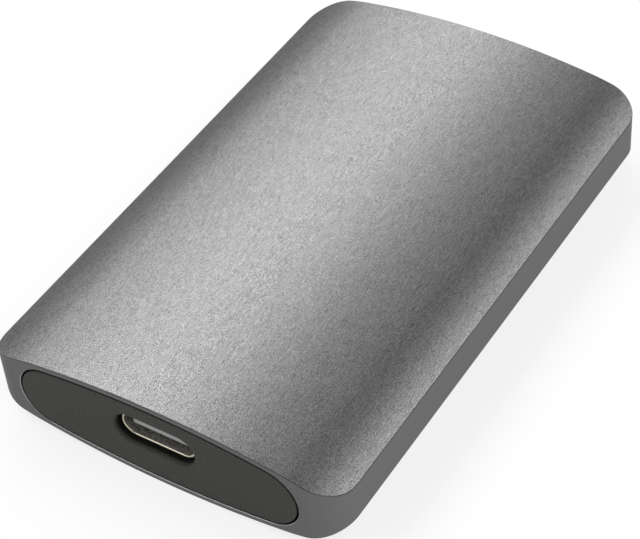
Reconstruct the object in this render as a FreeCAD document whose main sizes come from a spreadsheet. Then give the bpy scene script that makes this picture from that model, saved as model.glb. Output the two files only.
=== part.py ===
"""External solid state drive: an extruded aluminium tube closed by two moulded end caps.

The frame stands on the lowest point of the tube: +Z up, the port end faces -Y, millimetres.
Heights of inner pieces are measured from the mid-plane, halfway up the tube.
"""
import FreeCAD, Part
import math
import os

import Sketcher

Vector = FreeCAD.Vector

# Driving dimensions in millimetres: name, value, meaning.
DIMENSIONS = (
    ("width", 42.0, "tube across its flat side walls"),
    ("length", 66.0, "tube from end face to end face"),
    ("height", 11.0, "tube over both crowns"),
    ("side_wall", 4.6, "height of the flat side walls"),
    ("crown_radius", 95.0, "radius of both crowns along the middle"),
    ("shoulder_width", 6.0, "steeper strip of each crown beside a side wall"),
    ("corner_radius", 3.8, "upright corners of the tube, seen from above"),
    ("rim", 0.75, "aluminium left between crown and cavity"),
    ("side_thickness", 4.4, "aluminium between side wall and cavity"),
    ("mouth_chamfer", 0.15, "broken edge round each mouth"),
    ("cap_gap", 0.12, "gap round each end cap"),
    ("cap_plate", 1.5, "thickness of the end caps' plates"),
    ("skirt_depth", 1.5, "how far a cap's skirt reaches in behind its plate"),
    ("skirt_wall", 0.9, "wall of a cap's skirt"),
    ("cap_edge", 0.1, "broken edge round a cap's visible face"),
    ("port_clearance", 0.22, "gap between the port's hole and the socket's shell"),
    ("port_lip", 0.4, "rounded lip of the port's hole"),
    ("port_rise", 0.85, "port's centre above the mid-plane"),
    ("shell_width", 8.94, "socket shell, outside"),
    ("shell_height", 3.26, "socket shell, outside"),
    ("shell_wall", 0.3, "sheet of the socket shell"),
    ("shell_length", 7.3, "socket shell along the plug's path"),
    ("shell_recess", 0.75, "socket behind the cap's face"),
    ("leg_length", 1.0, "each solder leg along the plug's path"),
    ("leg_setback", 3.2, "front solder legs behind the shell's front edge"),
    ("leg_pitch", 2.6, "front to rear solder legs"),
    ("leg_clearance", 0.1, "gap round each leg in the board"),
    ("insulator_depth", 2.4, "moulded block closing the shell at the back"),
    ("insulator_clearance", 0.04, "gap between insulator and shell"),
    ("tongue_width", 6.69, "contact tongue across"),
    ("tongue_thickness", 0.7, "contact tongue, top to bottom"),
    ("tongue_setback", 0.65, "tongue's tip behind the shell's front edge"),
    ("contact_pitch", 0.5, "contact to contact"),
    ("contact_width", 0.25, "one contact across"),
    ("contact_thickness", 0.08, "one contact above the tongue"),
    ("contact_setback", 0.6, "contacts' front ends behind the tongue's tip"),
    ("tray_clearance", 0.15, "gap between tray and cavity"),
    ("tray_wall", 0.9, "floor of the tray"),
    ("ledge", 3.6, "board ledge on each side of the tray"),
    ("board_thickness", 1.0, "circuit board"),
    ("board_side_gap", 1.1, "board's long edge to the end of the cavity"),
    ("board_end_gap", 0.15, "board's short edge to the cap's skirt"),
    ("board_corner", 1.2, "rounded corners of the board"),
    ("screw_inset", 1.9, "screws' centres in from the board's long edges"),
    ("screw_end", 3.4, "screws' centres in from the board's short edges"),
    ("screw_shank", 1.4, "diameter of the screws' shanks"),
    ("screw_bite", 1.2, "screws below the board"),
    ("screw_clearance", 0.15, "gap round the shanks, in board and tray"),
    ("head_diameter", 2.6, "screw heads"),
    ("head_height", 0.8, "screw heads"),
    ("flash_width", 12.0, "flash packages across"),
    ("flash_length", 18.0, "flash packages along"),
    ("flash_thickness", 1.2, "flash packages above the board"),
    ("flash_gap", 1.4, "free board between the flash packages"),
    ("flash_end", 7.2, "flash packages in from the board's rear edge"),
    ("controller_size", 11.0, "controller package, square"),
    ("controller_thickness", 1.1, "controller package above the board"),
    ("bridge_size", 7.0, "bridge package, square"),
    ("bridge_thickness", 0.9, "bridge package above the board"),
    ("bridge_gap", 2.8, "bridge package behind the socket"),
    ("dram_width", 7.5, "buffer memory across"),
    ("dram_length", 11.0, "buffer memory along"),
    ("dram_thickness", 1.0, "buffer memory below the board"),
    ("firmware_width", 4.0, "firmware memory across"),
    ("firmware_length", 5.0, "firmware memory along"),
    ("firmware_thickness", 0.8, "firmware memory below the board"),
    ("firmware_gap", 2.5, "firmware memory behind the buffer memory"),
    ("package_chamfer", 0.12, "broken top edges of the packages"),
    ("dimple_diameter", 0.8, "first-pin dimple"),
    ("dimple_depth", 0.1, "first-pin dimple"),
    ("dimple_inset", 1.1, "first-pin dimple in from the package's edges"),
    ("crystal_width", 2.5, "clock crystals across"),
    ("crystal_length", 3.2, "clock crystals along"),
    ("crystal_thickness", 0.7, "clock crystals"),
    ("inductor_size", 3.0, "power inductors, square"),
    ("inductor_thickness", 1.5, "power inductors"),
    ("inductor_corner", 0.5, "rounded corners of the inductors"),
    ("regulator_size", 2.2, "power regulators, square"),
    ("regulator_thickness", 0.75, "power regulators"),
    ("part_gap", 1.2, "free board between neighbouring small parts"),
    ("capacitor_width", 0.8, "ceramic capacitors across"),
    ("capacitor_length", 1.6, "ceramic capacitors along"),
    ("capacitor_thickness", 0.8, "ceramic capacitors"),
    ("capacitor_pitch", 1.9, "capacitor to capacitor in a row"),
    ("resistor_width", 0.5, "chip resistors across"),
    ("resistor_length", 1.0, "chip resistors along"),
    ("resistor_thickness", 0.35, "chip resistors"),
    ("resistor_pitch", 1.4, "resistor to resistor in a row"),
    ("pad_margin", 1.0, "thermal pad in from the edges of what it covers"),
    ("pad_clearance", 0.1, "thermal pad below the tube's inner crown"),
)

CONTACTS_PER_ROW = 12
CAPACITORS_PER_ROW = 6
RESISTORS_PER_ROW = 6

# Heights from the mid-plane and places along Y, as expressions on the sheet.
MID_PLANE = "Sizes.height / 2"
FRONT = "(-Sizes.length / 2)"
BOARD_TOP = "(Sizes.port_rise - Sizes.shell_height / 2)"
BOARD_BOTTOM = f"({BOARD_TOP} - Sizes.board_thickness)"
SKIRT_END = "(Sizes.length / 2 - Sizes.cap_plate - Sizes.skirt_depth)"
BOARD_REAR = f"({SKIRT_END} - Sizes.board_end_gap)"
CAVITY_HALF = "(Sizes.width / 2 - Sizes.side_thickness)"
BOARD_HALF = f"({CAVITY_HALF} - Sizes.board_side_gap)"
SHELL_FRONT = f"({FRONT} + Sizes.shell_recess)"
SHELL_REAR = f"({SHELL_FRONT} + Sizes.shell_length)"
FLASH_FRONT = f"({BOARD_REAR} - Sizes.flash_end - Sizes.flash_length)"
BRIDGE_Y = f"({SHELL_REAR} + Sizes.bridge_gap + Sizes.bridge_size / 2)"
CONTROLLER_Y = f"(({BRIDGE_Y} + Sizes.bridge_size / 2 + {FLASH_FRONT}) / 2)"
BESIDE_CONTROLLER = "(Sizes.controller_size / 2 + Sizes.part_gap)"

doc = FreeCAD.newDocument("external_drive")
sheet = doc.addObject("Spreadsheet::Sheet", "Sizes")
sub_parts = []


def fill_sheet():
    """Write every driving dimension into the sheet under its own name."""
    for row, (name, size, meaning) in enumerate(DIMENSIONS, start=1):
        sheet.set(f"A{row}", meaning)
        sheet.set(f"B{row}", str(size))
        sheet.setAlias(f"B{row}", name)
    doc.recompute()


def size(name):
    """Read one driving dimension back from the sheet."""
    return float(sheet.get(name))


def evaluate(expression):
    """Work out an expression on the sheet."""
    return float(sheet.evalExpression(expression))


def keep(label, shape_object):
    """Name a finished sub-part and list it for writing."""
    shape_object.Label = label
    sub_parts.append(shape_object)


def new_body(name, x="0", y="0", z="0", turn=0.0):
    """Start a body whose place is bound to the sheet; z is measured from the mid-plane."""
    body = doc.addObject("PartDesign::Body", name)
    body.Placement = FreeCAD.Placement(Vector(), FreeCAD.Rotation(Vector(0, 0, 1), turn))
    place(body, x, y, z)
    return body


def place(shape_object, x, y, z):
    """Bind an object's place to the sheet; z is measured from the mid-plane."""
    shape_object.setExpression("Placement.Base.x", x)
    shape_object.setExpression("Placement.Base.y", y)
    shape_object.setExpression("Placement.Base.z", f"{MID_PLANE} + {z}")


def new_sketch(body, name, plane="XZ_Plane", offset="0"):
    """Start a sketch on one of the body's own planes, moved along that plane's normal."""
    sketch = body.newObject("Sketcher::SketchObject", name)
    support = [item for item in body.Origin.OriginFeatures if item.Role == plane][0]
    sketch.AttachmentSupport = [(support, "")]
    sketch.MapMode = "FlatFace"
    sketch.setExpression("AttachmentOffset.Base.z", offset)
    return sketch


def bind(sketch, expression, *constraint):
    """Add a dimension to a sketch and bind it to the sheet."""
    index = sketch.addConstraint(Sketcher.Constraint(*constraint))
    sketch.setExpression(f"Constraints[{index}]", expression)


def fix(sketch, *constraint):
    """Add a geometric constraint to a sketch."""
    sketch.addConstraint(Sketcher.Constraint(*constraint))


def arc(centre, start, end):
    """Arc of a circle about centre, counter-clockwise from start to end."""
    first = math.atan2(start.y - centre.y, start.x - centre.x)
    last = math.atan2(end.y - centre.y, end.x - centre.x)
    circle = Part.Circle(centre, Vector(0, 0, 1), (start - centre).Length)
    return Part.ArcOfCircle(circle, first, last)


def pad(body, name, sketch, length, symmetric=False, backwards=False):
    """Pad a sketch by a bound length."""
    feature = body.newObject("PartDesign::Pad", name)
    feature.Profile = sketch
    feature.SideType = "Symmetric" if symmetric else "One side"
    feature.Reversed = backwards
    feature.setExpression("Length", length)
    doc.recompute()
    return feature


def pocket(body, name, sketch, length="", backwards=False):
    """Pocket a sketch by a bound length, or right through both ways without one."""
    before = body.Shape.Volume
    feature = body.newObject("PartDesign::Pocket", name)
    feature.Profile = sketch
    feature.Reversed = backwards
    if length:
        feature.setExpression("Length", length)
    else:
        feature.SideType = "Symmetric"
        feature.Type = "ThroughAll"
    doc.recompute()
    if body.Shape.Volume >= before:
        raise RuntimeError(f"{name} removes nothing")
    return feature


def dress(body, kind, name, edges, parameter, expression):
    """Fillet or chamfer the chosen edges of the body's last feature."""
    if not edges:
        raise RuntimeError(f"{name} finds no edges")
    base = body.Tip
    feature = body.newObject(f"PartDesign::{kind}", name)
    feature.Base = (base, edges)
    feature.setExpression(parameter, expression)
    doc.recompute()
    return feature


def edge_names(body, wanted):
    """Names of the edges of the body's last feature that the test accepts."""
    edges = body.Tip.Shape.Edges
    return [f"Edge{number}" for number, edge in enumerate(edges, start=1) if wanted(edge)]


def lies_in_plane(edge, axis, level):
    """Whether an edge lies wholly at one level of an axis."""
    box = edge.BoundBox
    return max(abs(getattr(box, axis + end) - level) for end in ("Min", "Max")) < 1e-4


def rectangle(sketch, left, right, bottom, top):
    """Draw a rectangle whose sides are bound; each argument is an expression."""
    corners = (Vector(-1, -1, 0), Vector(1, -1, 0), Vector(1, 1, 0), Vector(-1, 1, 0))
    first = sketch.GeometryCount
    for index in range(4):
        sketch.addGeometry(Part.LineSegment(corners[index], corners[(index + 1) % 4]))
    for index in range(4):
        fix(sketch, "Coincident", first + index, 2, first + (index + 1) % 4, 1)
    for index, direction in enumerate(("Horizontal", "Vertical", "Horizontal", "Vertical")):
        fix(sketch, direction, first + index)
    bind(sketch, left, "DistanceX", -1, 1, first, 1, -1)
    bind(sketch, right, "DistanceX", -1, 1, first, 2, 1)
    bind(sketch, bottom, "DistanceY", -1, 1, first, 1, -1)
    bind(sketch, top, "DistanceY", -1, 1, first + 2, 1, 1)


def centred_rectangle(sketch, across, along):
    """Draw a rectangle about the sketch's origin."""
    rectangle(sketch, f"-({across}) / 2", f"({across}) / 2", f"-({along}) / 2", f"({along}) / 2")


def circle(sketch, diameter, x, y):
    """Draw a circle with a bound diameter and centre."""
    index = sketch.addGeometry(Part.Circle(Vector(1, 1, 0), Vector(0, 0, 1), 1))
    bind(sketch, diameter, "Diameter", index, 2)
    bind(sketch, x, "DistanceX", -1, 1, index, 3, 1)
    bind(sketch, y, "DistanceY", -1, 1, index, 3, 1)


def stadium(sketch, across, high):
    """Draw a flat slot with full-round ends about the sketch's origin."""
    half = 2.0
    radius = 1.0
    top = sketch.addGeometry(Part.LineSegment(Vector(half, radius, 0), Vector(-half, radius, 0)))
    left = sketch.addGeometry(arc(Vector(-half, 0, 0), Vector(-half, radius, 0), Vector(-half, -radius, 0)))
    bottom = sketch.addGeometry(Part.LineSegment(Vector(-half, -radius, 0), Vector(half, -radius, 0)))
    right = sketch.addGeometry(arc(Vector(half, 0, 0), Vector(half, -radius, 0), Vector(half, radius, 0)))
    for one, other in ((top, left), (left, bottom), (bottom, right), (right, top)):
        fix(sketch, "Tangent", one, 2, other, 1)
    fix(sketch, "Equal", left, right)
    fix(sketch, "PointOnObject", left, 3, -1)
    fix(sketch, "Symmetric", left, 3, right, 3, -1, 1)
    bind(sketch, f"({high}) / 2", "Radius", right, radius)
    bind(sketch, f"({across}) - ({high})", "DistanceX", left, 3, right, 3, 2 * half)


def pillow_section(body):
    """Draw the tube's outer section: crowns, steeper shoulders and flat side walls."""
    sketch = new_sketch(body, "pillow_section")
    half = size("width") / 2
    wall = size("side_wall") / 2
    radius = size("crown_radius")
    drop = radius - size("height") / 2
    inner = half - size("shoulder_width")
    crown_end = Vector(inner, math.sqrt(radius ** 2 - inner ** 2) - drop, 0)
    outward = (crown_end + Vector(0, drop, 0)).normalize()
    chord = Vector(half, wall, 0) - crown_end
    shoulder = crown_end + outward * (chord.dot(chord) / (2 * chord.dot(outward)))

    def flip(point, across, up):
        return Vector(across * point.x, up * point.y, 0)

    corner = Vector(half, wall, 0)
    right_wall = sketch.addGeometry(Part.LineSegment(flip(corner, 1, -1), corner))
    left_wall = sketch.addGeometry(Part.LineSegment(flip(corner, -1, 1), flip(corner, -1, -1)))
    top = sketch.addGeometry(arc(Vector(0, -drop, 0), crown_end, flip(crown_end, -1, 1)))
    bottom = sketch.addGeometry(arc(Vector(0, drop, 0), flip(crown_end, -1, -1), flip(crown_end, 1, -1)))
    loop = []
    for before, after, across, up in (
        (right_wall, top, 1, 1),
        (top, left_wall, -1, 1),
        (left_wall, bottom, -1, -1),
        (bottom, right_wall, 1, -1),
    ):
        ends = [flip(corner, across, up), flip(crown_end, across, up)]
        if across != up:
            ends.reverse()
        bend = sketch.addGeometry(arc(flip(shoulder, across, up), *ends))
        loop.append((before, bend, after))
    for before, bend, after in loop:
        crown_first = before in (top, bottom)
        fix(sketch, "Tangent" if crown_first else "Coincident", before, 2, bend, 1)
        fix(sketch, "Coincident" if crown_first else "Tangent", bend, 2, after, 1)
    for crown in (top, bottom):
        fix(sketch, "PointOnObject", crown, 3, -2)
        bind(sketch, "Sizes.crown_radius", "Radius", crown, radius)
    bind(sketch, "Sizes.crown_radius - Sizes.height / 2", "DistanceY", top, 3, -1, 1, drop)
    bind(sketch, "Sizes.crown_radius - Sizes.height / 2", "DistanceY", -1, 1, bottom, 3, drop)
    crown_half = "Sizes.width / 2 - Sizes.shoulder_width"
    bind(sketch, crown_half, "DistanceX", -1, 1, top, 1, inner)
    bind(sketch, crown_half, "DistanceX", top, 2, -1, 1, inner)
    bind(sketch, crown_half, "DistanceX", bottom, 1, -1, 1, inner)
    bind(sketch, crown_half, "DistanceX", -1, 1, bottom, 2, inner)
    for wall_line, first, second in ((right_wall, 1, 2), (left_wall, 2, 1)):
        fix(sketch, "Symmetric", wall_line, 1, wall_line, 2, -1)
        bind(sketch, "Sizes.side_wall", "DistanceY", wall_line, first, wall_line, second, 2 * wall)
    bind(sketch, "Sizes.width / 2", "DistanceX", -1, 1, right_wall, 1, half)
    bind(sketch, "Sizes.width / 2", "DistanceX", left_wall, 1, -1, 1, half)
    return sketch


def mouth_outline(body, name, inset="0", inset_size=0.0, offset="0"):
    """Draw the cavity's outline, moved inwards: two crowns joined by full-round ends."""
    sketch = new_sketch(body, name, offset=offset)
    radius = size("crown_radius") - size("rim") - inset_size
    drop = size("crown_radius") - size("height") / 2
    tip = evaluate(CAVITY_HALF) - inset_size
    end_radius = (radius ** 2 - tip ** 2 - drop ** 2) / (2 * (radius - tip))
    end_centre = Vector(tip - end_radius, 0, 0)
    joint = end_centre + (end_centre + Vector(0, drop, 0)).normalize() * end_radius

    def flip(point, across, up):
        return Vector(across * point.x, up * point.y, 0)

    top = sketch.addGeometry(arc(Vector(0, -drop, 0), joint, flip(joint, -1, 1)))
    left = sketch.addGeometry(arc(flip(end_centre, -1, 1), flip(joint, -1, 1), flip(joint, -1, -1)))
    bottom = sketch.addGeometry(arc(Vector(0, drop, 0), flip(joint, -1, -1), flip(joint, 1, -1)))
    right = sketch.addGeometry(arc(end_centre, flip(joint, 1, -1), joint))
    for one, other in ((top, left), (left, bottom), (bottom, right), (right, top)):
        fix(sketch, "Tangent", one, 2, other, 1)
    for crown in (top, bottom):
        fix(sketch, "PointOnObject", crown, 3, -2)
        bind(sketch, f"Sizes.crown_radius - Sizes.rim - ({inset})", "Radius", crown, radius)
    bind(sketch, "Sizes.crown_radius - Sizes.height / 2", "DistanceY", top, 3, -1, 1, drop)
    bind(sketch, "Sizes.crown_radius - Sizes.height / 2", "DistanceY", -1, 1, bottom, 3, drop)
    for end, across in ((right, 1), (left, -1)):
        point = sketch.addGeometry(Part.Point(Vector(across * tip, 0, 0)), True)
        fix(sketch, "PointOnObject", point, 1, -1)
        fix(sketch, "PointOnObject", point, 1, end)
        pair = (-1, 1, point, 1) if across > 0 else (point, 1, -1, 1)
        bind(sketch, f"{CAVITY_HALF} - ({inset})", "DistanceX", *pair, tip)
    return sketch


def crowned_section(sketch, half, flat, inset, up):
    """Draw a block with one flat side and one side that follows the cavity's crown.

    The arguments are expressions: half the width, the flat side's height, and how far the curved
    side lies in from the cavity. The curved side is on top where up is 1, below where it is -1.
    """
    half_size = evaluate(half)
    flat_size = evaluate(flat)
    radius = size("crown_radius") - size("rim") - evaluate(inset)
    drop = size("crown_radius") - size("height") / 2
    curve_end = up * (math.sqrt(radius ** 2 - half_size ** 2) - drop)
    first = -up * half_size
    corners = [(first, curve_end), (first, flat_size), (-first, flat_size), (-first, curve_end)]
    points = [Vector(x, z, 0) for x, z in corners]
    for start, end in zip(points, points[1:]):
        sketch.addGeometry(Part.LineSegment(start, end))
    sketch.addGeometry(arc(Vector(0, -up * drop, 0), points[3], points[0]))
    for index in range(4):
        fix(sketch, "Coincident", index, 2, (index + 1) % 4, 1)
    fix(sketch, "Vertical", 0)
    fix(sketch, "Vertical", 2)
    fix(sketch, "PointOnObject", 3, 3, -2)
    fix(sketch, "Symmetric", 1, 1, 1, 2, -2)
    bind(sketch, f"Sizes.crown_radius - Sizes.rim - ({inset})", "Radius", 3, radius)
    below = (3, 3, -1, 1) if up > 0 else (-1, 1, 3, 3)
    bind(sketch, "Sizes.crown_radius - Sizes.height / 2", "DistanceY", *below, drop)
    bind(sketch, f"{2 * up} * ({half})", "DistanceX", 1, 1, 1, 2, 2 * up * half_size)
    bind(sketch, flat, "DistanceY", -1, 1, 1, 1, flat_size)


def make_housing():
    """Extruded tube with a cavity right through and rounded upright corners."""
    body = new_body("housing")
    pad(body, "extrusion", pillow_section(body), "Sizes.length", symmetric=True)
    pocket(body, "cavity", mouth_outline(body, "cavity_outline"))
    half = size("width") / 2
    uprights = edge_names(
        body,
        lambda edge: abs(abs(edge.CenterOfMass.x) - half) < 1e-4 and edge.BoundBox.YLength < 1e-4,
    )
    wall_limit = "Sizes.side_thickness - 2 * Sizes.mouth_chamfer"
    radius = f"min(Sizes.corner_radius; {wall_limit})"
    dress(body, "Fillet", "upright_corners", uprights, "Radius", radius)
    reach = evaluate(CAVITY_HALF) + 1e-3
    mouth = edge_names(
        body,
        lambda edge: (
            any(lies_in_plane(edge, "Y", end * size("length") / 2) for end in (-1, 1))
            and edge.BoundBox.ZMax < size("height") / 2 - size("rim") / 2
            and edge.BoundBox.ZMin > -size("height") / 2 + size("rim") / 2
            and abs(edge.CenterOfMass.x) < reach
        ),
    )
    dress(body, "Chamfer", "mouth_edges", mouth, "Size", "Sizes.mouth_chamfer")
    keep("housing", body)


def make_end_cap(label, y, turn):
    """Moulded cap: a plate flush with the tube's end and a skirt that plugs its mouth."""
    body = new_body(label, y=y, turn=turn)
    gap = size("cap_gap")
    plate = mouth_outline(body, "plate_outline", "Sizes.cap_gap", gap)
    pad(body, "plate", plate, "Sizes.cap_plate + Sizes.skirt_depth", backwards=True)
    hollow = mouth_outline(
        body, "skirt_outline", "Sizes.cap_gap + Sizes.skirt_wall", gap + size("skirt_wall"),
        "-Sizes.cap_plate",
    )
    pocket(body, "skirt_hollow", hollow, "Sizes.skirt_depth")
    visible = edge_names(body, lambda edge: lies_in_plane(edge, "Y", 0))
    dress(body, "Chamfer", "visible_edge", visible, "Size", "Sizes.cap_edge")
    return body


def make_front_cap():
    """Cap at the port end, with a lipped hole for the plug."""
    body = make_end_cap("front_cap", FRONT, 0)
    sketch = new_sketch(body, "port_outline")
    sketch.setExpression("AttachmentOffset.Base.y", "Sizes.port_rise")
    across = "Sizes.shell_width + 2 * Sizes.port_clearance"
    high = "Sizes.shell_height + 2 * Sizes.port_clearance"
    stadium(sketch, across, high)
    pocket(body, "port", sketch, "Sizes.cap_plate")
    port_half = size("shell_width") / 2 + size("port_clearance") + 1e-3
    lip = edge_names(
        body,
        lambda edge: lies_in_plane(edge, "Y", 0) and edge.BoundBox.XMax < port_half
        and edge.BoundBox.XMin > -port_half,
    )
    dress(body, "Fillet", "port_lip", lip, "Radius", "Sizes.port_lip")
    keep("front_cap", body)


def make_rear_cap():
    """Plain cap at the far end."""
    keep("rear_cap", make_end_cap("rear_cap", "Sizes.length / 2", 180))


def screw_places():
    """Expressions for the four screw centres on the board."""
    across = f"({BOARD_HALF} - Sizes.screw_inset)"
    along = f"({BOARD_REAR} - Sizes.screw_end)"
    return [(f"{x} * {across}", f"{y} * {along}") for x in (-1, 1) for y in (-1, 1)]


def make_tray():
    """Moulded trough that carries the board on two ledges and fits the cavity's lower half."""
    body = new_body("carrier_tray")
    inset = size("tray_clearance")
    outline = mouth_outline(body, "tray_outline", "Sizes.tray_clearance", inset)
    pad(body, "tray_block", outline, f"2 * {SKIRT_END}", symmetric=True)
    above = new_sketch(body, "above_ledges")
    rectangle(above, f"-{CAVITY_HALF}", CAVITY_HALF, BOARD_BOTTOM, "Sizes.height / 2")
    pocket(body, "open_top", above)
    trough = new_sketch(body, "trough_outline")
    half = f"{BOARD_HALF} - Sizes.ledge"
    crowned_section(trough, half, BOARD_TOP, "Sizes.tray_clearance + Sizes.tray_wall", -1)
    pocket(body, "trough", trough)
    holes = new_sketch(body, "pilot_holes", "XY_Plane", BOARD_BOTTOM)
    for x, y in screw_places():
        circle(holes, "Sizes.screw_shank", x, y)
    pocket(body, "pilots", holes, "Sizes.screw_bite + Sizes.screw_clearance")
    keep("carrier_tray", body)


def make_board():
    """Circuit board with screw holes and slots for the socket's legs."""
    body = new_body("main_board", z=BOARD_BOTTOM)
    outline = new_sketch(body, "board_outline", "XY_Plane")
    centred_rectangle(outline, f"2 * {BOARD_HALF}", f"2 * {BOARD_REAR}")
    pad(body, "board", outline, "Sizes.board_thickness")
    corners = edge_names(body, lambda edge: edge.BoundBox.ZLength > size("board_thickness") / 2)
    dress(body, "Fillet", "board_corners", corners, "Radius", "Sizes.board_corner")
    holes = new_sketch(body, "screw_holes", "XY_Plane")
    for x, y in screw_places():
        circle(holes, "Sizes.screw_shank + 2 * Sizes.screw_clearance", x, y)
    pocket(body, "screw_holes_cut", holes, "Sizes.board_thickness", backwards=True)
    slots = new_sketch(body, "leg_slots", "XY_Plane")
    half_slot = "(Sizes.shell_wall / 2 + Sizes.leg_clearance)"
    half_run = "(Sizes.leg_length / 2 + Sizes.leg_clearance)"
    for x, y in leg_places():
        sides = (f"{x} - {half_slot}", f"{x} + {half_slot}")
        ends = (f"{y} - {half_run}", f"{y} + {half_run}")
        rectangle(slots, *sides, *ends)
    pocket(body, "leg_slots_cut", slots, "Sizes.board_thickness", backwards=True)
    keep("main_board", body)


def leg_places():
    """Expressions for the centres of the socket's four solder legs."""
    across = "(Sizes.shell_width / 2 - Sizes.shell_wall / 2)"
    front = f"({SHELL_FRONT} + Sizes.leg_setback)"
    return [(f"{x} * {across}", f"{front} + {row} * Sizes.leg_pitch") for x in (-1, 1) for row in (0, 1)]


def make_socket_shell():
    """Drawn steel shell of the socket, with four legs through the board."""
    body = new_body("socket_shell", y=SHELL_FRONT, z="Sizes.port_rise")
    outside = new_sketch(body, "shell_outside")
    stadium(outside, "Sizes.shell_width", "Sizes.shell_height")
    pad(body, "shell", outside, "Sizes.shell_length", backwards=True)
    legs = new_sketch(body, "legs_outline", "XY_Plane")
    half_sheet = "Sizes.shell_wall / 2"
    half_leg = "Sizes.leg_length / 2"
    for x, y in leg_places():
        middle = f"{y} - {SHELL_FRONT}"
        sides = (f"{x} - {half_sheet}", f"{x} + {half_sheet}")
        ends = (f"{middle} - {half_leg}", f"{middle} + {half_leg}")
        rectangle(legs, *sides, *ends)
    pad(body, "legs", legs, "Sizes.shell_height / 2 + Sizes.board_thickness", backwards=True)
    inside = new_sketch(body, "shell_inside")
    stadium(inside, "Sizes.shell_width - 2 * Sizes.shell_wall", "Sizes.shell_height - 2 * Sizes.shell_wall")
    pocket(body, "plug_space", inside, "Sizes.shell_length")
    keep("socket_shell", body)


def make_socket_insulator():
    """Moulded block at the back of the socket with the contact tongue in front."""
    body = new_body("socket_insulator", y=SHELL_REAR, z="Sizes.port_rise")
    block = new_sketch(body, "block_outline")
    inset = "2 * (Sizes.shell_wall + Sizes.insulator_clearance)"
    stadium(block, f"Sizes.shell_width - {inset}", f"Sizes.shell_height - {inset}")
    pad(body, "block", block, "Sizes.insulator_depth")
    tongue = new_sketch(body, "tongue_outline")
    centred_rectangle(tongue, "Sizes.tongue_width", "Sizes.tongue_thickness")
    pad(body, "tongue", tongue, "Sizes.shell_length - Sizes.tongue_setback")
    keep("socket_insulator", body)


def box(name, across, along, high, x, y, z):
    """Add a box with bound sizes, centred on x and y and standing on z."""
    block = doc.addObject("Part::Box", name)
    block.setExpression("Length", across)
    block.setExpression("Width", along)
    block.setExpression("Height", high)
    place(block, f"{x} - ({across}) / 2", f"{y} - ({along}) / 2", z)
    return block


def keep_group(label, members):
    """Gather separate solids into one node."""
    group = doc.addObject("Part::Compound", label)
    group.Links = members
    keep(label, group)


def make_socket_contacts():
    """Two rows of flat contacts on the faces of the tongue."""
    along = (
        "Sizes.shell_length - Sizes.tongue_setback - Sizes.contact_setback - Sizes.insulator_depth"
    )
    middle = f"{SHELL_REAR} - Sizes.insulator_depth - ({along}) / 2"
    above = "Sizes.port_rise + Sizes.tongue_thickness / 2"
    below = "Sizes.port_rise - Sizes.tongue_thickness / 2 - Sizes.contact_thickness"
    members = []
    for row, z in (("upper", above), ("lower", below)):
        for number in range(CONTACTS_PER_ROW):
            x = f"{number - (CONTACTS_PER_ROW - 1) / 2} * Sizes.contact_pitch"
            name = f"contact_{row}_{number + 1}"
            members.append(
                box(name, "Sizes.contact_width", along, "Sizes.contact_thickness", x, middle, z)
            )
    keep_group("socket_contacts", members)


def make_package(label, across, along, high, x, y, below=False):
    """Moulded chip package with broken edges and a first-pin dimple, on either side of the board."""
    z = f"{BOARD_BOTTOM} - ({high})" if below else BOARD_TOP
    body = new_body(label, x, y, z)
    outline = new_sketch(body, "package_outline", "XY_Plane")
    centred_rectangle(outline, across, along)
    block = pad(body, "package", outline, high)
    outer_level = 0.0 if below else float(block.Length)
    outer_edges = edge_names(body, lambda edge: lies_in_plane(edge, "Z", outer_level))
    dress(body, "Chamfer", "package_edges", outer_edges, "Size", "Sizes.package_chamfer")
    level = "0" if below else high
    dimple = new_sketch(body, "dimple_outline", "XY_Plane", level)
    corner_x = f"-({across}) / 2 + Sizes.dimple_inset"
    corner_y = f"-({along}) / 2 + Sizes.dimple_inset"
    circle(dimple, "Sizes.dimple_diameter", corner_x, corner_y)
    pocket(body, "dimple", dimple, "Sizes.dimple_depth", backwards=below)
    keep(label, body)


def make_packages():
    """Flash, controller and bridge on the board's top; buffer and firmware memory below."""
    flash_y = f"{FLASH_FRONT} + Sizes.flash_length / 2"
    for label, side in (("flash_package_left", -1), ("flash_package_right", 1)):
        make_package(
            label, "Sizes.flash_width", "Sizes.flash_length", "Sizes.flash_thickness",
            f"{side} * (Sizes.flash_width + Sizes.flash_gap) / 2", flash_y,
        )
    controller = "Sizes.controller_size"
    make_package("flash_controller", controller, controller, "Sizes.controller_thickness", "0", CONTROLLER_Y)
    bridge = "Sizes.bridge_size"
    make_package("bridge_chip", bridge, bridge, "Sizes.bridge_thickness", "0", BRIDGE_Y)
    make_package(
        "buffer_memory", "Sizes.dram_width", "Sizes.dram_length", "Sizes.dram_thickness",
        "0", CONTROLLER_Y, below=True,
    )
    firmware_y = f"{CONTROLLER_Y} + Sizes.dram_length / 2 + Sizes.firmware_gap + Sizes.firmware_length / 2"
    make_package(
        "firmware_memory", "Sizes.firmware_width", "Sizes.firmware_length", "Sizes.firmware_thickness",
        "0", firmware_y, below=True,
    )


def make_crystals():
    """One metal-lidded clock crystal beside the bridge and one beside the controller."""
    x = f"-({BESIDE_CONTROLLER} + Sizes.crystal_width / 2)"
    for label, y in (("bridge_crystal", BRIDGE_Y), ("controller_crystal", CONTROLLER_Y)):
        body = new_body(label, x, y, BOARD_TOP)
        outline = new_sketch(body, "crystal_outline", "XY_Plane")
        centred_rectangle(outline, "Sizes.crystal_width", "Sizes.crystal_length")
        pad(body, "crystal", outline, "Sizes.crystal_thickness")
        top = edge_names(body, lambda edge: lies_in_plane(edge, "Z", size("crystal_thickness")))
        dress(body, "Fillet", "lid_edges", top, "Radius", "Sizes.package_chamfer")
        keep(label, body)


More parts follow.
